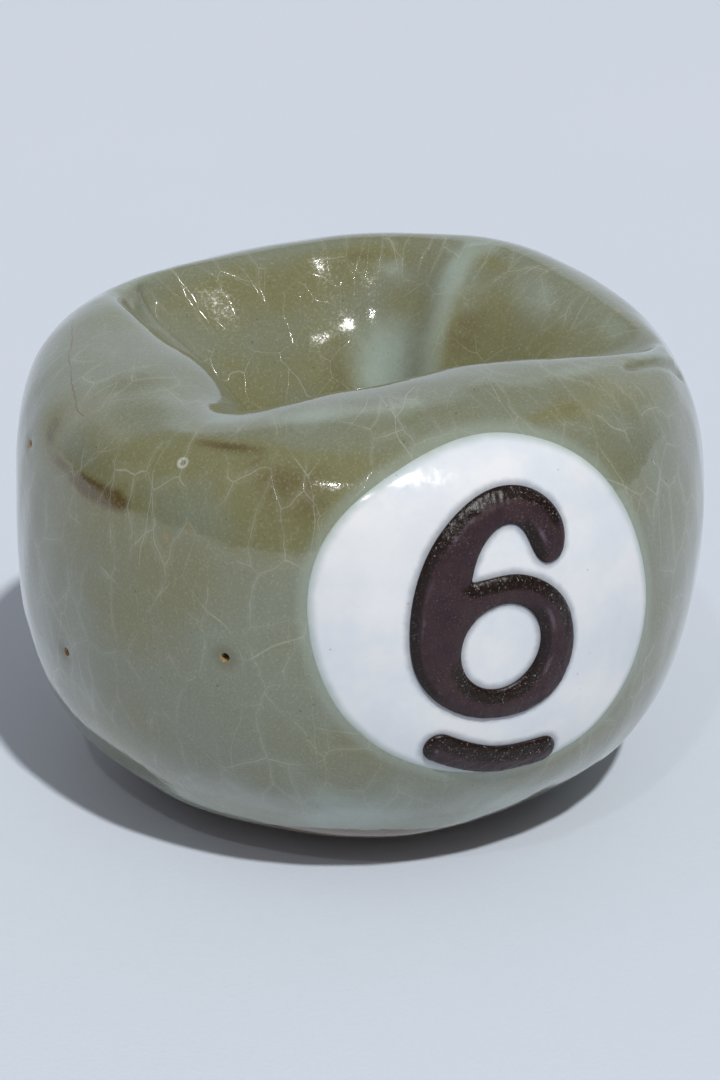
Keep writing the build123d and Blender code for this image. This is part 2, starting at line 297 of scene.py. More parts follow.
def waves(points, lengths, seed, count=9):
    """A smooth field of about -1 to 1: sine waves of several lengths in fixed random directions."""
    rng = np.random.default_rng(seed)
    total = np.zeros(points.shape[:-1])
    for index in range(count):
        way = rng.normal(size=3)
        way /= np.linalg.norm(way)
        length = lengths[0] + (lengths[1] - lengths[0]) * index / (count - 1)
        total += np.sin(points @ way * 2 * np.pi / length + rng.uniform(0, 2 * np.pi))
    return total / math.sqrt(count)


def smooth_step(low, high, value):
    """Rises smoothly from 0 to 1 as value goes from low to high."""
    x = np.clip((value - low) / (high - low), 0, 1)
    return x * x * (3 - 2 * x)


def refined(low, high, step, places, reach, fine):
    """Stations from low to high, a step apart, with finer ones within reach of some places."""
    stations = [low]
    while stations[-1] < high - 1e-9:
        here = stations[-1]
        near = min((abs(wrapped(here - place)) for place in places), default=1e9)
        grown = fine + (step - fine) * smooth_step(reach, 3 * reach, near)
        stations.append(here + float(grown))
    stations = np.array(stations)
    return low + (stations - low) * (high - low) / (stations[-1] - low)


# ---- Mesh helpers ----
def new_mesh(name, points, faces):
    """A smooth-shaded mesh object from points in mm."""
    mesh = bpy.data.meshes.new(name)
    mesh.from_pydata((np.asarray(points) * MM).tolist(), [], [list(map(int, face)) for face in faces])
    mesh.update()
    mesh.polygons.foreach_set("use_smooth", [True] * len(mesh.polygons))
    piece = bpy.data.objects.new(name, mesh)
    bpy.context.collection.objects.link(piece)
    return piece


def set_shade(piece, name, values):
    """Stores one number per vertex for the materials to read."""
    layer = piece.data.attributes.new(name, "FLOAT", "POINT")
    layer.data.foreach_set("value", np.asarray(values, float).ravel())


def set_place(piece, name, values):
    """Stores one place per vertex for the materials to read."""
    layer = piece.data.attributes.new(name, "FLOAT_VECTOR", "POINT")
    layer.data.foreach_set("vector", np.asarray(values, float).ravel())


def grid_faces(rows, columns):
    """Quads of a grid that is closed around its columns."""
    index = np.arange(rows * columns).reshape(rows, columns)
    right = np.roll(index, -1, 1)
    return np.stack([index[:-1], right[:-1], right[1:], index[1:]], -1).reshape(-1, 4)


def closed_faces(rows, columns):
    """Faces of a closed grid, and a fan from each of its ends to one more point."""
    total = rows * columns
    first, last = np.arange(columns), np.arange(total - columns, total)
    faces = grid_faces(rows, columns).tolist()
    faces += [[total, b, a] for a, b in zip(first, np.roll(first, -1))]
    return faces + [[total + 1, a, b] for a, b in zip(last, np.roll(last, -1))]


def modified(piece):
    """A new mesh: the piece's own, with its modifiers applied."""
    graph = bpy.context.evaluated_depsgraph_get()
    return bpy.data.meshes.new_from_object(piece.evaluated_get(graph))


def apply_modifiers(piece):
    """Leaves the piece as a plain mesh."""
    mesh, old = modified(piece), piece.data
    piece.modifiers.clear()
    piece.data = mesh
    bpy.data.meshes.remove(old)


# ---- Number plane ----
def number_axes():
    """Origin, right, up and outward directions of the plane that the number is laid out on."""
    pitch, lean = math.radians(NUMBER_PITCH), math.radians(NUMBER_LEAN)
    origin = np.array([NUMBER_SIDE, -NUMBER_REACH, NUMBER_HEIGHT])
    out = np.array([0.0, -math.cos(pitch), math.sin(pitch)])
    right = np.array([math.cos(lean), 0.0, -math.sin(lean)])
    right -= out * (right @ out)
    right /= np.linalg.norm(right)
    return origin, right, np.cross(out, right), out


ORIGIN, RIGHTWARD, UPWARD, OUTWARD = number_axes()


def smooth_curve(points, count, closed=True):
    """A cubic spline through points, as count stations evenly spaced along it."""
    points = np.array(points, float)
    if closed:
        wrap = 4
        points = np.concatenate([points[-wrap:], points, points[:wrap + 1]])
    chord = np.concatenate([[0], np.cumsum(np.linalg.norm(np.diff(points, axis=0), axis=1))])
    size = len(points)
    matrix, right = np.eye(size), np.zeros((size, 2))
    step = np.diff(chord)
    for i in range(1, size - 1):
        matrix[i, i - 1:i + 2] = step[i - 1], 2 * (step[i - 1] + step[i]), step[i]
        right[i] = 6 * ((points[i + 1] - points[i]) / step[i] - (points[i] - points[i - 1]) / step[i - 1])
    bend = np.linalg.solve(matrix, right)
    low, high = (chord[wrap], chord[-wrap - 1]) if closed else (chord[0], chord[-1])
    at = np.linspace(low, high, count, endpoint=not closed)
    i = np.clip(np.searchsorted(chord, at, side="right") - 1, 0, size - 2)
    a, b = (chord[i + 1] - at)[:, None], (at - chord[i])[:, None]
    h = step[i][:, None]
    return (bend[i] * a ** 3 + bend[i + 1] * b ** 3) / (6 * h) + (points[i] / h - bend[i] * h / 6) * a + (
        points[i + 1] / h - bend[i + 1] * h / 6) * b


def ellipse(centre, radii, count):
    """Stations around an ellipse."""
    turn = np.linspace(0, 2 * np.pi, count, endpoint=False)
    return np.array(centre) + np.stack([radii[0] * np.cos(turn), radii[1] * np.sin(turn)], -1)


def bar_outline(count):
    """The bar's rounded outline around its slightly sagging centre line."""
    line = smooth_curve(BAR_LINE, count, closed=False)
    along = np.gradient(line, axis=0)
    along /= np.linalg.norm(along, axis=1, keepdims=True)
    side = np.stack([-along[:, 1], along[:, 0]], -1) * BAR_WIDTH / 2
    turn = np.linspace(0, np.pi, 14)[1:-1, None]
    far_end = line[-1] + side[-1] * np.cos(turn) + along[-1] * BAR_WIDTH / 2 * np.sin(turn)
    near_end = line[0] - side[0] * np.cos(turn) - along[0] * BAR_WIDTH / 2 * np.sin(turn)
    return np.concatenate([line + side, far_end, (line - side)[::-1], near_end])


def inside(flat, outline):
    """Whether points of the number plane lie inside a closed outline."""
    result = np.zeros(len(flat), bool)
    for a, b in zip(outline, np.roll(outline, -1, 0)):
        crosses = (a[1] > flat[:, 1]) != (b[1] > flat[:, 1])
        rise = b[1] - a[1] if b[1] != a[1] else 1e-12
        result ^= crosses & (flat[:, 0] < (b[0] - a[0]) * (flat[:, 1] - a[1]) / rise + a[0])
    return result


def distance(flat, outline, chunk=4000):
    """Distance from points of the number plane to a closed outline."""
    start = outline
    step = np.roll(outline, -1, 0) - start
    length = (step ** 2).sum(1)
    result = np.empty(len(flat))
    for low in range(0, len(flat), chunk):
        offset = flat[low:low + chunk, None] - start
        share = np.clip((offset * step).sum(2) / length, 0, 1)
        result[low:low + chunk] = np.linalg.norm(offset - share[..., None] * step, axis=2).min(1)
    return result


DISC_EDGE = smooth_curve(DISC_OUTLINE, 320)
SIX_EDGE = smooth_curve(SIX_OUTLINE, 300, closed=False)[:-1]
SIX_HOLE = ellipse(SIX_HOLE_CENTRE, SIX_HOLE_RADII, 90)
BAR_EDGE = bar_outline(50)


# ---- Glaze ----
def line_share(azimuths, height):
    """Share of the meridian at which the outer wall reaches a height, at each azimuth."""
    low, high = np.zeros(azimuths.shape), np.full(azimuths.shape, 0.42)
    heights = np.array([ring_values(*ring[2:], azimuths) for ring in CONTROL_RINGS])
    for _ in range(24):
        middle = (low + high) / 2
        reached = (blend_weights(middle) * heights.T).sum(1)
        low, high = np.where(reached < height, middle, low), np.where(reached < height, high, middle)
    return (low + high) / 2


def lumps(points):
    """Hand-made unevenness of the skin, in mm, proud enough to stay clear of the clay."""
    total = 0.18 + 0.16 * waves(points, (22, 48), 3) + 0.05 * waves(points, (7, 14), 5)
    for azimuth, share, height, width in BULGES:
        total += height * bell(gap(points, skin_place(azimuth, share)), width)
    return total


def along_skin(stations, count=110):
    """Points of the skin along a line through (azimuth, share) stations."""
    line = smooth_curve(stations, count, closed=False)
    return np.array([skin_place(azimuth, share) for azimuth, share in line])


def crease_depth(points):
    """Depth in mm of the folds where clay was pressed against clay; negative on their banks."""
    total = np.zeros(points.shape[:-1])
    for stations, depth, width, taper in CREASES:
        line = along_skin(stations)
        part = np.linspace(0, 1, len(line))
        fades = smooth_step(0, taper, np.minimum(part, 1 - part)) if taper else np.ones(len(line))
        strength = np.zeros(points.shape[:-1])
        for place, fade in zip(line, fades):
            strength = np.maximum(strength, fade * bell(gap(points, place), width))
        total += depth * strength
    return total


def skin():
    """The whole uneven skin as a fine grid, with its azimuths and shares."""
    around, along = zip(*PORES, BLISTER)
    azimuths = refined(-180.0, 180.0, COLUMN_STEP, around, COLUMN_REACH, COLUMN_FINE)[:-1]
    shares = refined(0.0, LAST_SHARE, ROW_STEP, along, ROW_REACH, ROW_FINE)
    points = skin_grid(azimuths, shares)
    normals = grid_normals(points)
    points = points + normals * (lumps(points) - crease_depth(points))[..., None]
    return azimuths, shares, points, grid_normals(points)


PORES = [(azimuth, float(line_share(np.array([azimuth]), height)[0])) for azimuth, height in VENTS]
AZIMUTHS, SHARES, SKIN, NORMALS = skin()
SKIN_FACES = grid_faces(len(SHARES), len(AZIMUTHS))
SKIN_TREE = BVHTree.FromPolygons(SKIN.reshape(-1, 3).tolist(), SKIN_FACES.tolist())


def on_skin(flat):
    """Points of the skin, and its normals there, straight behind points of the number plane."""
    normals = NORMALS.reshape(-1, 3)
    feet, ups = np.empty((2, len(flat), 3))
    back = Vector(-OUTWARD)
    for i, (right, up) in enumerate(flat):
        start = ORIGIN + right * RIGHTWARD + up * UPWARD + 40 * OUTWARD
        hit, _, face, _ = SKIN_TREE.ray_cast(Vector(start), back)
        feet[i] = hit
        ups[i] = normals[SKIN_FACES[face]].mean(0)
    return feet, ups / np.linalg.norm(ups, axis=1, keepdims=True)


def on_plane(points):
    """Right and up coordinates on the number plane, and the distance in front of it."""
    offset = points - ORIGIN
    return np.stack([offset @ RIGHTWARD, offset @ UPWARD], -1), offset @ OUTWARD


def disc_reach(points):
    """Mm from the disc's outline on the number plane: negative inside it, 99 far from it."""
    flat, ahead = on_plane(points)
    front = (ahead > -6) & (np.abs(flat).max(1) < 40)
    reach = np.full(len(points), 99.0)
    reach[front] = distance(flat[front], DISC_EDGE) * np.where(inside(flat[front], DISC_EDGE), -1, 1)
    return reach


def make_glaze():
    """The glass skin: open above the foot and at the disc, with its pinholes, its pooled glaze, and
    painted light and shade.
    """
    points = SKIN.reshape(-1, 3).copy()
    reach = disc_reach(points)
    ring = np.min([gap(points, skin_place(*pore)) for pore in PORES], axis=0)
    depth = VENT_DEPTH * (1 - smooth_step(VENT_RADIUS - 0.3, VENT_RADIUS + 0.12, ring))
    dimple = 0.14 * bell(ring, 1.7)
    blister = gap(points, skin_place(*BLISTER))
    crater = 0.22 * bell(blister, 0.45) - 0.10 * bell(blister - 0.8, 0.3)
    points -= NORMALS.reshape(-1, 3) * (depth + dimple + crater)[:, None]

    line = line_share(AZIMUTHS, GLAZE_LINE + 0.6 * waves(ringed(AZIMUTHS, 30, 0), (7, 40), 9))
    rows, columns = np.divmod(np.arange(len(SKIN_FACES)), len(AZIMUTHS))
    keep = (SHARES[rows] > line[columns]) & (reach[SKIN_FACES].max(1) > -0.6)
    piece = new_mesh("glaze", points, SKIN_FACES[keep])

    along = np.cumsum(np.linalg.norm(np.diff(SKIN, axis=0, prepend=SKIN[:1]), axis=2), axis=0)
    around = np.broadcast_to(UNROLLED_RADIUS * np.radians(AZIMUTHS), along.shape)
    hem = HEM_HEIGHT + HEM_RISE * bell(wrapped(AZIMUTHS - HEM_AZIMUTH), HEM_SPREAD)
    offsets = [crack_offset(stations) for stations in CRACKS]
    set_place(piece, "unrolled", np.stack([around, along, 0 * along], -1))
    set_place(piece, "cracks", np.stack([*offsets, 0 * along], -1))
    shades = {
        "pool": pooling_and_painted_dark(), "thin": thinning_and_painted_light(), "crease": crease_depth(SKIN),
        "hem": np.clip(points.reshape(SKIN.shape)[..., 2] - hem, -9, 9),
        "ring": np.minimum(ring, 9), "blister": np.minimum(blister, 9), "rim": np.minimum(reach, 9),
    }
    for name, values in shades.items():
        set_shade(piece, name, values)

    close_tip(piece)
    thick = piece.modifiers.new("glass", "SOLIDIFY")
    thick.thickness = GLAZE * MM
    thick.offset = -1
    thick.use_even_offset = False
    apply_modifiers(piece)
    return piece


def close_tip(piece):
    """Drops the loose points, and joins the last row at the bottom of the well."""
    shape = bmesh.new()
    shape.from_mesh(piece.data)
    loose = [vertex for vertex in shape.verts if not vertex.link_faces]
    bmesh.ops.delete(shape, geom=loose, context="VERTS")
    tip = [vertex for vertex in shape.verts if vertex.co.xy.length < 0.2 * MM and vertex.co.z < 50 * MM]
    bmesh.ops.remove_doubles(shape, verts=tip, dist=1 * MM)
    shape.to_mesh(piece.data)
    shape.free()


def crack_offset(stations):
    """Mm above or below a crack at every point of the skin's grid; far beyond its two ends."""
    azimuths, shares = np.array(stations, float).T
    offset = (SHARES[:, None] - np.interp(AZIMUTHS, azimuths, shares)) * MERIDIAN
    beyond = (AZIMUTHS < azimuths[0]) | (AZIMUTHS > azimuths[-1])
    return np.where(beyond, 9.0, np.clip(offset, -9, 9))


def blob(azimuth, share, wide, tall):
    """A soft spot on the skin's grid, in degrees around and in share of the meridian."""
    around = wrapped(AZIMUTHS[None, :] - azimuth) / wide
    along = (SHARES[:, None] - share) / tall
    return np.exp(-(around ** 2 + along ** 2))


def blobs(spots):
    """The sum of soft spots, each (strength, azimuth, share, degrees wide, share tall)."""
    return sum(strength * blob(*place) for strength, *place in spots)


def pooling_and_painted_dark():
    """Where the glaze ran thick and olive, then brown, and where painted shade and a painted dark
    reflection darken it: 0 to 1.
    """
    return np.clip(blobs(POOLS_AND_PAINTED_DARK) + 0.16 * waves(SKIN, (12, 36), 21) + 0.18, 0, 1.4)


def thinning_and_painted_light():
    """Where the glaze is thin and pale blue-green, and where painted light brightens it: 0 to 1."""
    return np.clip(blobs(THIN_AND_PAINTED_LIGHT_SPOTS) + 0.15 * waves(SKIN, (10, 30), 33), 0, 1)


# ---- Disc, digit and bar ----
def make_disc():
    """The white disc: barely proud of the glaze, with a soft rim, and closed behind."""
    spokes = len(DISC_EDGE)
    rings, back_rings = 80, 8
    centre = DISC_EDGE.mean(0)

    def shrunk(shares):
        stations = centre + shares[:, None, None] * (DISC_EDGE - centre)
        return np.concatenate([stations.reshape(-1, 2), [centre]])

    flat = shrunk(1 - (1 - np.linspace(0, 1, rings + 1)[1:]) ** 1.35)
    feet, ups = on_skin(flat)
    edge = distance(flat, DISC_EDGE)
    edge[(rings - 1) * spokes:rings * spokes] = 0
    proud = 0.16 * smooth_step(0, 1.4, edge) - 0.10 * (1 - smooth_step(0, 0.5, edge))
    top = feet + ups * proud[:, None]
    back_feet, back_ups = on_skin(shrunk(np.linspace(1, 0, back_rings + 1)[:-1]))
    bottom = back_feet - back_ups * DISC_DEPTH

    def joined(front, behind):
        return np.concatenate([front[:-1], behind[:-1], front[-1:], behind[-1:]])

    faces = [face[:1] + face[:0:-1] for face in closed_faces(rings + back_rings, spokes)]
    piece = new_mesh("disc", joined(top, bottom), faces)
    stain = np.min([distance(flat, outline) for outline in (SIX_EDGE, SIX_HOLE, BAR_EDGE)], axis=0)
    under = (inside(flat, SIX_EDGE) & ~inside(flat, SIX_HOLE)) | inside(flat, BAR_EDGE)
    stain[under] = 0
    set_shade(piece, "stain", joined(stain, np.full(len(bottom), 9.0)))
    set_shade(piece, "rim", joined(edge, np.zeros(len(bottom))))
    return piece


def relief(name, outlines, seed):
    """A raised piece on the disc: a filled outline with rounded edges, wrapped onto the skin."""
    thickness = RELIEF + SINK
    curve = bpy.data.curves.new(name, "CURVE")
    curve.dimensions = "2D"
    curve.fill_mode = "BOTH"
    curve.extrude = thickness / 2 - ROUNDING
    curve.bevel_depth = ROUNDING
    curve.bevel_resolution = 5
    curve.offset = -ROUNDING
    for outline in outlines:
        spline = curve.splines.new("POLY")
        spline.points.add(len(outline) - 1)
        for point, (right, up) in zip(spline.points, outline):
            point.co = (right, up, 0, 1)
        spline.use_cyclic_u = True
    drawn = bpy.data.objects.new(name, curve)
    bpy.context.collection.objects.link(drawn)
    fine = drawn.modifiers.new("even", "REMESH")
    fine.mode = "VOXEL"
    fine.voxel_size = VOXEL
    soften = drawn.modifiers.new("soft", "SMOOTH")
    soften.factor = 0.5
    soften.iterations = 8
    mesh = modified(drawn)
    bpy.data.objects.remove(drawn)
    local = np.empty(len(mesh.vertices) * 3)
    mesh.vertices.foreach_get("co", local)
    local = local.reshape(-1, 3)
    faces = [list(face.vertices) for face in mesh.polygons]
    bpy.data.meshes.remove(mesh)

    flat, lift = local[:, :2], local[:, 2] + thickness / 2 - SINK

    def to_edge(right=0.0, up=0.0):
        return np.min([distance(flat + [right, up], outline) for outline in outlines], axis=0)

    edge = to_edge()
    top = smooth_step(0, RELIEF, lift)
    feet, ups = on_skin(flat)
    lift = lift - 0.40 * top * (1 - smooth_step(0.2, 2.8, edge))
    lift += top * (0.05 * waves(feet, (1.6, 5), seed) + 0.03 * waves(feet, (0.6, 1.4), seed + 1))
    piece = new_mesh(name, feet + ups * lift[:, None], faces)
    set_shade(piece, "edge", edge)
    set_shade(piece, "upper", (to_edge(up=-VOXEL) - to_edge(up=VOXEL)) / (2 * VOXEL))
    set_shade(piece, "left", (to_edge(right=VOXEL) - to_edge(right=-VOXEL)) / (2 * VOXEL))
    return piece


# ---- Foot ----
def make_foot():
    """The bare clay slab, with a torn, layered edge, flat on the surface below."""
    columns, levels = 400, np.linspace(0, 1, 22)
    azimuths = np.linspace(-180, 180, columns, endpoint=False)
    top_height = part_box("foot_pad")[1].z / MM - 0.02
    base = skin_grid(azimuths, np.array([0.0]))[0]
    wall = skin_grid(azimuths, np.linspace(0.02, 0.09, 60))
    wall_radius = np.hypot(wall[..., 0], wall[..., 1])
    reach = np.array([np.interp(top_height, wall[:, i, 2], wall_radius[:, i]) for i in range(columns)])
    foot = np.hypot(base[:, 0], base[:, 1])
    rings = [ringed(azimuths, foot * share, 0) for share in (0.3, 0.7)]
    for level in levels:
        radius = foot + (reach - foot) * level ** 0.6
        place = ringed(azimuths, radius, level * top_height)
        layers = 0.22 * np.sin(level * 2 * np.pi * 2.6 + 1.5 * waves(place, (18, 40), 41))
        torn = 0.30 * waves(place * [1, 1, 2.2], (3, 10), 43) + layers - 0.35
        radius = radius + torn * np.sin(np.pi * min(max(level, 0.04), 0.97)) ** 0.5
        rings.append(ringed(azimuths, radius, level * top_height))
    rings += [ringed(azimuths, reach * share, top_height) for share in (0.7, 0.3)]
    points = np.concatenate([*rings, [[0, 0, 0], [0, 0, top_height]]])
    return new_mesh("foot", points, closed_faces(len(rings), columns))


# ---- Material nodes ----
class Shader:
    """Short names for building one material's or the world's node tree."""

    def __init__(self, tree):
        self.tree = tree
        tree.nodes.clear()

    def node(self, kind, settings=None, **inputs):
        made = self.tree.nodes.new(kind)
        for key, value in (settings or {}).items():
            setattr(made, key, value)
        for key, value in inputs.items():
            self.feed(made.inputs[key.replace("_", " ")], value)
        return made

    def feed(self, socket, value):
        if isinstance(value, bpy.types.NodeSocket):
            self.tree.links.new(value, socket)
        else:
            socket.default_value = value

    def place(self, scale=(1, 1, 1)):
        """Object coordinates in mm, scaled."""
        where = self.node("ShaderNodeTexCoord").outputs["Object"]
        return self.mapped(where, [1000 * value for value in scale])

    def mapped(self, vector, scale, turn=0.0):
        """Coordinates turned about Z, in radians, and scaled."""
        return self.node("ShaderNodeMapping", Vector=vector, Scale=scale, Rotation=(0, 0, turn)).outputs[0]

    def noise(self, vector, size, detail=4.0, roughness=0.55):
        """Noise of 0 to 1 with features about size mm across."""
        return self.node("ShaderNodeTexNoise", Vector=vector, Scale=1 / size, Detail=detail,
                         Roughness=roughness).outputs[0]

    def sway(self, vector, size, amount, detail=4.0, roughness=0.55):
        """Noise around 0; amount is about its whole span."""
        return self.times(self.minus(self.noise(vector, size, detail, roughness), 0.5), amount)

    def cells(self, vector, size):
        """Distance to the middle of the nearest cell, cells size mm across."""
        return self.node("ShaderNodeTexVoronoi", Vector=vector, Scale=1 / size).outputs["Distance"]

    def crackle(self, vector, size, width, flat):
        """Craze lines around cells size mm across, width mm wide: 1 on a line."""
        settings = {"feature": "DISTANCE_TO_EDGE", "voronoi_dimensions": "2D" if flat else "3D"}
        edge = self.node("ShaderNodeTexVoronoi", settings, Vector=vector, Scale=1 / size).outputs[0]
        part = width / size
        half = self.math("MULTIPLY_ADD", self.noise(vector, size, 2), 0.6 * part, 0.2 * part)
        return self.fall(self.math("DIVIDE", edge, half), 0.5, 1.1)

    def result(self, kind, settings, *values):
        """The first output of a node whose first inputs are fed in order."""
        made = self.node(kind, settings)
        for socket, value in zip(made.inputs, values):
            self.feed(socket, value)
        return made.outputs[0]

    def math(self, operation, *values):
        return self.result("ShaderNodeMath", {"operation": operation}, *values)

    def times(self, a, b):
        return self.math("MULTIPLY", a, b)

    def plus(self, a, b):
        return self.math("ADD", a, b)

    def minus(self, a, b):
        return self.math("SUBTRACT", a, b)

    def band(self, value, low, high, start=0.0, end=1.0):
        """Goes smoothly from start to end as value goes from low to high."""
        settings = {"interpolation_type": "SMOOTHSTEP"}
        return self.result("ShaderNodeMapRange", settings, value, low, high, start, end)

    def fall(self, value, low, high, start=1.0):
        """Goes smoothly from start to 0 as value goes from low to high."""
        return self.band(value, low, high, start, 0.0)

    def mix(self, share, a, b):
        """Two colours mixed by share."""
        made = self.node("ShaderNodeMix", {"data_type": "RGBA"})
        for index, value in ((0, share), (6, a), (7, b)):
            self.feed(made.inputs[index], value)
        return made.outputs[2]

    def tint(self, colour, mask, share, tinge):
        """A colour with some of another where the mask is 1."""
        return self.mix(self.times(mask, share), colour, tinge)

    def vector(self, operation, *values):
        return self.result("ShaderNodeVectorMath", {"operation": operation}, *values)

    def warped(self, vector, size, amount, seed=0.0):
        """Coordinates pushed about by noise, amount in mm."""
        shifted = self.vector("ADD", vector, (seed, -seed, 2 * seed))
        noise = self.node("ShaderNodeTexNoise", Vector=shifted, Scale=1 / size, Detail=2.0).outputs[1]
        centred = self.vector("SUBTRACT", noise, (0.5, 0.5, 0.5))
        scaled = self.node("ShaderNodeVectorMath", {"operation": "SCALE"}, Scale=2 * amount)
        self.feed(scaled.inputs[0], centred)
        return self.vector("ADD", vector, scaled.outputs[0])

    def stored(self, name):
        """A number that was kept on the mesh's points."""
        return self.node("ShaderNodeAttribute", {"attribute_name": name}).outputs["Fac"]

    def stored_place(self, name):
        """A place that was kept on the mesh's points, and its three numbers."""
        place = self.node("ShaderNodeAttribute", {"attribute_name": name}).outputs["Vector"]
        return place, self.node("ShaderNodeSeparateXYZ", Vector=place).outputs

    def bump(self, height, reach):
        """A normal from a height, reach mm deep."""
        return self.node("ShaderNodeBump", Height=height, Distance=reach * MM, Strength=1.0).outputs[0]


def rgb(red, green, blue):
    """A screen colour (0 to 255) as linear light."""
    light = [((c / 255 + 0.055) / 1.055) ** 2.4 if c > 10 else c / 255 / 12.92 for c in (red, green, blue)]
    return (*light, 1.0)


GREY_OLIVE = rgb(117, 121, 102)
OLIVE = rgb(114, 113, 80)
OLIVE_DARK = rgb(92, 90, 62)
BROWN = rgb(88, 74, 42)
CELADON = rgb(150, 163, 152)
# Pale: real scratches and a burst bubble on the glaze, and painted glints on the digit.
SCRATCH_AND_GLINT = rgb(214, 218, 214)
CRAZE = rgb(196, 200, 188)
SPECK_PALE = rgb(178, 182, 170)
SPECK_DARK = rgb(62, 54, 38)
CRACK = rgb(104, 86, 62)
TAN = rgb(152, 124, 84)
PIT = rgb(24, 18, 12)
WHITE = rgb(222, 223, 224)
WHITE_COOL = rgb(206, 212, 218)
INK = rgb(78, 88, 104)
RIM = rgb(158, 172, 166)
SLIP = rgb(44, 27, 33)
SLIP_WARM = rgb(56, 38, 40)
SLIP_EDGE = rgb(20, 9, 5)
SLIP_DARK_REFLECTION = rgb(25, 12, 5)
SLIP_SPECK = rgb(128, 112, 112)
SLIP_RIM_REFLECTION = rgb(118, 112, 128)
CLAY = rgb(150, 134, 114)
CLAY_DARK = rgb(92, 72, 54)
CLAY_WARM = rgb(128, 94, 66)
CLAY_PALE = rgb(190, 178, 160)
SCORCH = rgb(98, 76, 52)
FLOOR = rgb(202, 209, 218)
FLOOR_SHADE = rgb(198, 206, 216)


def new_material(name):
    """An empty material, and the names for building it."""
    material = bpy.data.materials.new(name)
    material.use_nodes = True
    return material, Shader(material.node_tree)


def finish_material(shader, colour, roughness, normal, **settings):
    """A principled surface; settings go to its sockets of the same names."""
    if "Coat_Weight" in settings:
        settings["Coat_Normal"] = normal
    surface = shader.node("ShaderNodeBsdfPrincipled", Base_Color=colour, Roughness=roughness,
                          Normal=normal, **settings)
    shader.node("ShaderNodeOutputMaterial", Surface=surface.outputs[0])


def glaze_ground(s, where):
    """Grey-olive, with its olive and brown pools and its thin blue-green places, and painted light and
    shade among them.
    """
    # pool also carries painted shade and a painted dark reflection; thin also carries painted light.
    pool, thin = s.stored("pool"), s.stored("thin")
    mottle = s.minus(s.noise(s.warped(where, 9, 3), 5.5, 4, 0.6), 0.5)
    deep = s.plus(s.plus(pool, s.sway(where, 24, 0.5, 3)), s.times(mottle, 0.45))
    colour = s.mix(s.band(deep, 0.1, 0.65), GREY_OLIVE, OLIVE)
    colour = s.mix(s.band(deep, 0.65, 1.15), colour, BROWN)
    pale = s.plus(thin, s.times(mottle, 0.6))
    return s.mix(s.band(pale, 0.15, 0.95, 0, 0.9), colour, CELADON)


def glaze_lines(s, where, colour):
    """Craze lines with their soft halos, tool strokes and scratches; also the lines' own mask."""
    unrolled, parts = s.stored_place("unrolled")
    outside = s.times(s.fall(parts[1], WELL_START - 8, WELL_START),
                      s.fall(s.math("ABSOLUTE", parts[0]), SEAM_START, SEAM_START + 4))
    fades = s.band(s.noise(s.warped(where, 30, 8, 40), 12, 3), 0.40, 0.62, 0.08, 1.0)
    tall = s.mapped(s.warped(unrolled, 9, 2.4), (1, 0.55, 1))
    lean = s.mapped(s.warped(unrolled, 20, 5, 13), (1, 0.4, 1), 0.6)
    outer = s.math("MAXIMUM", s.crackle(tall, 5.6, 0.13, True), s.crackle(lean, 13, 0.16, True))
    inner = s.crackle(s.warped(where, 8, 2, 31), 7.5, 0.12, False)
    line = s.times(s.mix(outside, inner, outer), fades)
    halo = s.times(s.crackle(tall, 5.6, 1.3, True), s.times(outside, fades))
    colour = s.tint(colour, halo, 0.05, CRAZE)
    colour = s.tint(colour, line, 0.21, CRAZE)

    strokes = s.mapped(s.warped(unrolled, 16, 2, 3), (1, 0.12, 1), -0.9)
    stroked = s.times(s.band(s.noise(where, 15, 1), 0.46, 0.6), outside)
    stroke = s.times(s.band(s.noise(strokes, 0.5, 2), 0.60, 0.74), stroked)
    colour = s.tint(colour, stroke, 0.09, CRAZE)
    scratches = s.mapped(s.warped(unrolled, 6, 2, 63), (1, 0.16, 1), 0.35)
    scratch = s.times(s.fall(s.cells(scratches, 2.2), 0.035, 0.06),
                      s.band(s.noise(where, 4.5, 1), 0.57, 0.64))
    return s.tint(colour, scratch, 0.55, SCRATCH_AND_GLINT), s.plus(line, scratch)


def glaze_specks(s, where, fine, colour):
    """Pale and dark grains, sparse dark dots and a few tan spots."""
    colour = s.mix(s.band(fine, 0.50, 0.78, 0, 0.28), colour, SPECK_PALE)
    colour = s.mix(s.fall(fine, 0.22, 0.46, 0.22), colour, SPECK_DARK)
    dots = s.fall(s.cells(s.warped(where, 3, 1), 1.9), 0.05, 0.13)
    dots = s.times(dots, s.band(s.noise(where, 3.1, 1), 0.52, 0.66))
    colour = s.tint(colour, dots, 0.5, SPECK_DARK)
    spots = s.fall(s.cells(s.warped(where, 6, 2, 9), 13), 0.03, 0.075)
    return s.tint(colour, spots, 0.5, TAN)


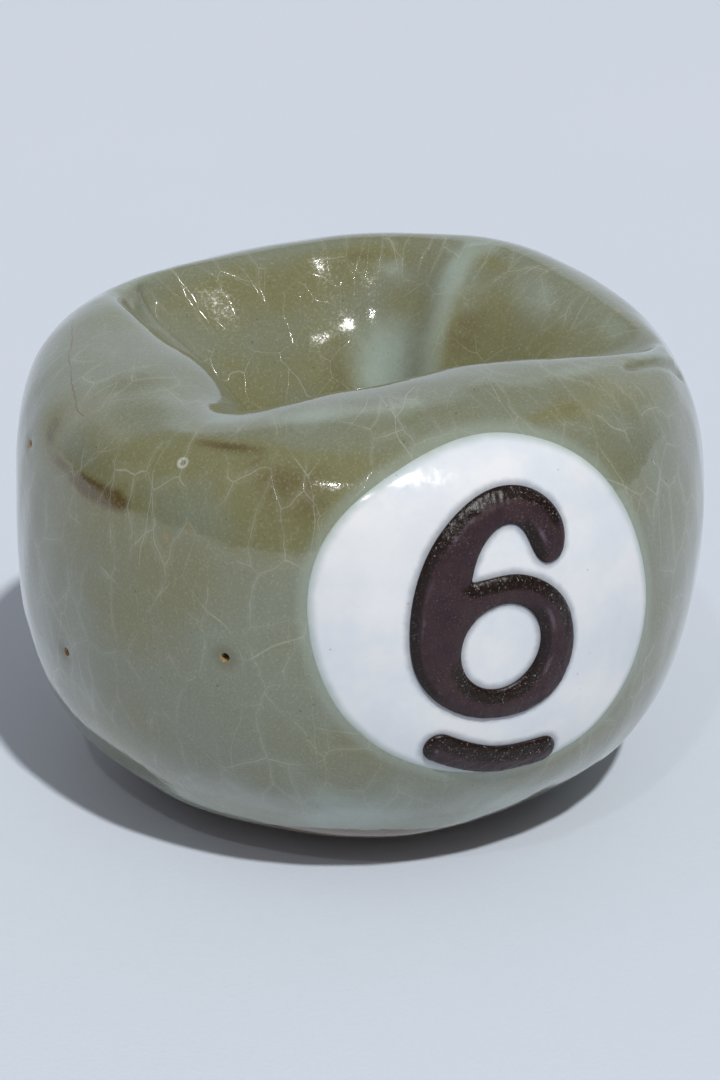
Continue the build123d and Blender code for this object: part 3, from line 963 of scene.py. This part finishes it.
def glaze_marks(s, where, colour):
    """The two brown cracks, the creases, the scorched hem, the pinholes, the bubble and the rim."""
    _, offsets = s.stored_place("cracks")
    wander = s.sway(where, 5, 2.6, 3)
    crack = s.math("MINIMUM", *(s.math("ABSOLUTE", s.plus(offset, wander)) for offset in offsets[:2]))
    broken = s.band(s.noise(where, 3, 2), 0.3, 0.55, 0.35, 0.8)
    colour = s.tint(colour, s.fall(crack, 0.06, 0.26), broken, CRACK)

    crease = s.stored("crease")
    # Painted shade: the grooves of the creases are darkened; the ridges beside them are made paler.
    colour = s.mix(s.band(crease, 0.28, 0.55, 0, 0.75), colour, OLIVE_DARK)
    colour = s.mix(s.fall(crease, -0.4, -0.12, 0.4), colour, CELADON)
    scorched = s.mix(s.band(clay_layers(s), 0.35, 0.65), SCORCH, CLAY_DARK)
    hem = s.plus(s.stored("hem"), s.sway(where, 3.5, 1.6))
    colour = s.mix(s.fall(hem, -0.15, 0.2, 0.95), colour, scorched)

    ring = s.stored("ring")
    colour = s.mix(s.fall(ring, 0.7, 2.9, 0.6), colour, OLIVE_DARK)
    colour = s.mix(s.fall(ring, VENT_RADIUS + 0.05, VENT_RADIUS + 0.3, 0.8), colour, TAN)
    # Painted shade: the inside of each pinhole is coloured near-black.
    colour = s.mix(s.fall(ring, VENT_RADIUS - 0.18, VENT_RADIUS - 0.02), colour, PIT)
    blister = s.stored("blister")
    bubble = s.times(s.band(blister, 0.35, 0.6), s.fall(blister, 0.75, 1.1))
    colour = s.tint(colour, bubble, 0.35, SCRATCH_AND_GLINT)
    return s.mix(s.fall(s.stored("rim"), 0.1, 1.8, 0.4), colour, CELADON)


def glaze_material():
    """Olive celadon: pooled brown and thin blue-green, with painted light and shade, crazed, with fine
    specks.
    """
    material, s = new_material("green_glaze")
    where = s.place()
    fine = s.noise(where, 0.42, 3, 0.75)
    colour, cut = glaze_lines(s, where, glaze_ground(s, where))
    colour = glaze_marks(s, where, glaze_specks(s, where, fine, colour))
    height = s.plus(s.times(s.noise(where, 6.5, 2, 0.4), 0.4), s.times(s.noise(where, 0.8, 2, 0.5), 0.05))
    height = s.minus(height, s.times(cut, 0.03))
    finish_material(s, colour, s.band(fine, 0.4, 0.8, 0.08, 0.18), s.bump(height, 0.35), IOR=1.5,
                    Specular_IOR_Level=0.5, Coat_Weight=0.6, Coat_Roughness=0.035)
    return material


def porcelain_material():
    """White glass over white clay, with a blue-green rim and ink bleeding from the digit."""
    material, s = new_material("white_porcelain")
    where = s.place()
    colour = s.mix(s.band(s.noise(where, 11, 4, 0.6), 0.3, 0.75), WHITE, WHITE_COOL)
    stain = s.minus(s.stored("stain"), s.times(s.noise(where, 1.6, 3), 0.7))
    colour = s.mix(s.fall(stain, -0.3, 0.9, 0.55), colour, INK)
    rim = s.minus(s.stored("rim"), s.times(s.noise(where, 3.5, 3), 0.9))
    colour = s.mix(s.fall(rim, -0.3, 1.4, 0.8), colour, RIM)
    tan = s.times(s.fall(rim, -0.45, 0.1), s.band(s.noise(where, 12, 1), 0.45, 0.6))
    colour = s.tint(colour, tan, 0.7, TAN)
    dots = s.fall(s.cells(where, 2.6), 0.03, 0.085)
    dots = s.times(dots, s.band(s.noise(where, 2.4, 1), 0.55, 0.68))
    colour = s.tint(colour, dots, 0.35, SPECK_DARK)
    height = s.plus(s.times(s.noise(where, 7, 2), 0.3), s.times(s.noise(where, 0.9, 2), 0.03))
    roughness = s.band(s.noise(where, 1.2, 3), 0.35, 0.75, 0.12, 0.24)
    finish_material(s, colour, roughness, s.bump(height, 0.25), IOR=1.45, Coat_Weight=0.3,
                    Coat_Roughness=0.04, Subsurface_Weight=0.15,
                    Subsurface_Radius=(0.001, 0.001, 0.001), Subsurface_Scale=0.6)
    return material


def slip_material():
    """Iron-brown slip, satin on top, with painted shade on its left sides, a painted reflection line
    inside them, and a painted dark reflection with painted glints along its glossier upper edges.
    """
    material, s = new_material("dark_slip")
    where = s.place()
    fine = s.noise(where, 0.30, 3, 0.75)
    edge, left = s.stored("edge"), s.stored("left")
    ragged = s.plus(edge, s.sway(where, 0.9, 1.6, 4, 0.7))
    colour = s.mix(s.band(s.noise(where, 4.5, 4, 0.65), 0.3, 0.72), SLIP, SLIP_WARM)
    colour = s.mix(s.fall(ragged, 0.0, 0.6, 0.7), colour, SLIP_EDGE)
    # Painted shade: the left-facing sides are darkened towards black.
    shaded_flank = s.times(s.fall(edge, 1.1, 1.6), s.band(left, 0.35, 0.7))
    colour = s.tint(colour, shaded_flank, 0.85, SLIP_EDGE)
    # Painted reflection: a broken pale blue-grey line along the rim, just inside the left sides.
    ridge = s.times(s.band(edge, 1.5, 1.8), s.fall(edge, 1.9, 2.4))
    ridge = s.times(s.times(ridge, s.band(left, 0.6, 0.85)), s.band(s.noise(where, 5, 2), 0.44, 0.60))
    colour = s.tint(colour, ridge, 0.33, SLIP_RIM_REFLECTION)
    # Painted reflection: the upper edges are darkened to near black, standing in for a dark room mirrored
    # there; they are also made glossier.
    glossy_upper_edge = s.times(s.fall(ragged, 1.6, 2.3), s.band(s.stored("upper"), 0.15, 0.6))
    colour = s.mix(glossy_upper_edge, colour, SLIP_DARK_REFLECTION)
    # Painted glints: pale specks along the glossy upper edges.
    colour = s.tint(colour, s.times(s.band(fine, 0.62, 0.72), glossy_upper_edge), 0.75, SCRATCH_AND_GLINT)
    dusty = s.band(s.noise(where, 5.5, 2), 0.4, 0.7, 0.3, 1.0)
    colour = s.tint(colour, s.band(fine, 0.54, 0.72, 0, 0.60), dusty, SLIP_SPECK)
    height = s.plus(s.times(s.noise(where, 1.3, 3), 0.20), s.times(fine, 0.16))
    roughness = s.plus(s.band(glossy_upper_edge, 0.2, 0.9, 0.46, 0.34), s.band(fine, 0.4, 0.8, 0.0, 0.1))
    finish_material(s, colour, roughness, s.bump(height, 0.25), IOR=1.36, Coat_Weight=0.04,
                    Coat_Roughness=0.12)
    return material


def clay_layers(s):
    """Flat layers in the clay, as noise of 0 to 1."""
    return s.noise(s.place((0.35, 0.35, 2.6)), 2.4, 4, 0.65)


def clay_material(name):
    """Coarse fired stoneware, scorched brown, with layers and grog."""
    material, s = new_material(name)
    where, layers = s.place(), clay_layers(s)
    colour = s.mix(s.band(layers, 0.3, 0.7), CLAY, CLAY_DARK)
    colour = s.mix(s.band(s.noise(where, 6, 3), 0.42, 0.68, 0, 0.6), colour, CLAY_WARM)
    grog = s.times(s.fall(s.cells(where, 1.0), 0.10, 0.25), s.band(s.noise(where, 1.7, 1), 0.5, 0.62))
    colour = s.tint(colour, grog, 0.6, CLAY_PALE)
    height = s.plus(s.times(layers, 0.8), s.times(s.noise(where, 0.5, 4, 0.7), 0.5))
    roughness = s.band(layers, 0.3, 0.8, 0.62, 0.85)
    finish_material(s, colour, roughness, s.bump(height, 0.5), IOR=1.45)
    return material


def floor_material():
    """Matt pale grey studio board with a trace of tooth."""
    material, s = new_material("studio_floor")
    where = s.place()
    colour = s.mix(s.noise(where, 90, 3), FLOOR, FLOOR_SHADE)
    roughness = s.band(s.noise(where, 4, 3), 0.3, 0.7, 0.80, 0.92)
    finish_material(s, colour, roughness, s.bump(s.noise(where, 0.8, 3), 0.05))
    return material


# ---- Studio ----
def make_world():
    """A plain pale studio for the camera. What the glaze mirrors is a pale floor and backdrop
    behind the ball, and a dim room above the table."""
    world = bpy.data.worlds.new("studio")
    bpy.context.scene.world = world
    world.use_nodes = True
    s = Shader(world.node_tree)
    way = s.node("ShaderNodeTexCoord").outputs["Generated"]
    parts = s.node("ShaderNodeSeparateXYZ", Vector=way).outputs
    up = parts[2]
    behind = math.radians(CAMERA_AZIMUTH + 180)
    level = s.math("SQRT", s.math("MAXIMUM", s.minus(1.0, s.times(up, up)), 1e-4))
    facing = s.plus(s.times(parts[0], math.sin(behind)), s.times(parts[1], -math.cos(behind)))
    facing = s.math("DIVIDE", facing, level)
    backdrop = s.times(s.band(facing, 0.25, 0.6), s.fall(up, 0.60, 0.76))
    below = s.fall(up, -0.02, 0.015)
    room = s.mix(s.band(up, 0.10, 0.75), ROOM, CEILING)
    mirrored = s.mix(s.math("MAXIMUM", below, backdrop), room, BACKDROP)
    path = s.node("ShaderNodeLightPath").outputs
    fill = s.mix(s.band(up, 0.15, 0.85), FILL_LOW, FILL_HIGH)
    colour = s.mix(path["Is Glossy Ray"], fill, mirrored)
    colour = s.mix(path["Is Camera Ray"], colour, BACKDROP)
    light = s.node("ShaderNodeBackground", Color=colour, Strength=1.0)
    s.node("ShaderNodeOutputWorld", Surface=light.outputs[0])


def make_lamp(name, azimuth, elevation, width, strength):
    """A distant studio lamp that looks width degrees wide; azimuth is from the camera's side."""
    data = bpy.data.lights.new(name, "SUN")
    data.angle = math.radians(width)
    data.energy = strength
    lamp = bpy.data.objects.new(name, data)
    bpy.context.collection.objects.link(lamp)
    lamp.rotation_euler = direction(CAMERA_AZIMUTH + azimuth, elevation).to_track_quat("Z", "Y").to_euler()


def make_floor():
    """A wide round studio floor that dips away at its edge."""
    rings, columns, radius, drop = 24, 96, 1800.0, 30.0
    share = np.arange(1, rings + 1)[:, None] / rings
    azimuths = np.linspace(90, 450, columns, endpoint=False)
    points = ringed(azimuths, radius * share ** 2, -drop * smooth_step(0.9, 1.0, share))
    points = np.concatenate([[[0, 0, 0]], points.reshape(-1, 3)])
    faces = [[0, 1 + i, 1 + (i + 1) % columns] for i in range(columns)]
    faces += (grid_faces(rings, columns)[:, [0, 3, 2, 1]] + 1).tolist()
    return new_mesh("floor", points, faces)


make_camera()
make_world()
make_lamp("key_left", -16, 53, 2.2, 0.22)
make_lamp("key_right", 22, 55, 2.6, 2.65)
bpy.context.scene.view_settings.view_transform = "Standard"

glaze, disc, foot = make_glaze(), make_disc(), make_foot()
six = relief("six", (SIX_EDGE, SIX_HOLE), 51)
bar = relief("bar", (BAR_EDGE,), 61)
floor = make_floor()

pieces = (
    (glaze, glaze_material(), "glaze_coat", "green_glaze"),
    (disc, porcelain_material(), "number_disc", "white_porcelain"),
    (six, slip_material(), "digit_six", "dark_slip"),
    (bar, slip_material(), "underline_bar", "dark_slip"),
    (foot, clay_material("bare_clay"), "foot_pad", "bare_clay"),
)
for piece, material, node, slot in pieces:
    piece.data.materials.clear()
    piece.data.materials.append(material)
    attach(piece, "root")
    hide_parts(node)
body_clay = clay_material("body_clay")
for node in ("lower_shell", "upper_shell"):
    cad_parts[node].data.materials.clear()
    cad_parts[node].data.materials.append(body_clay)
floor.data.materials.append(floor_material())
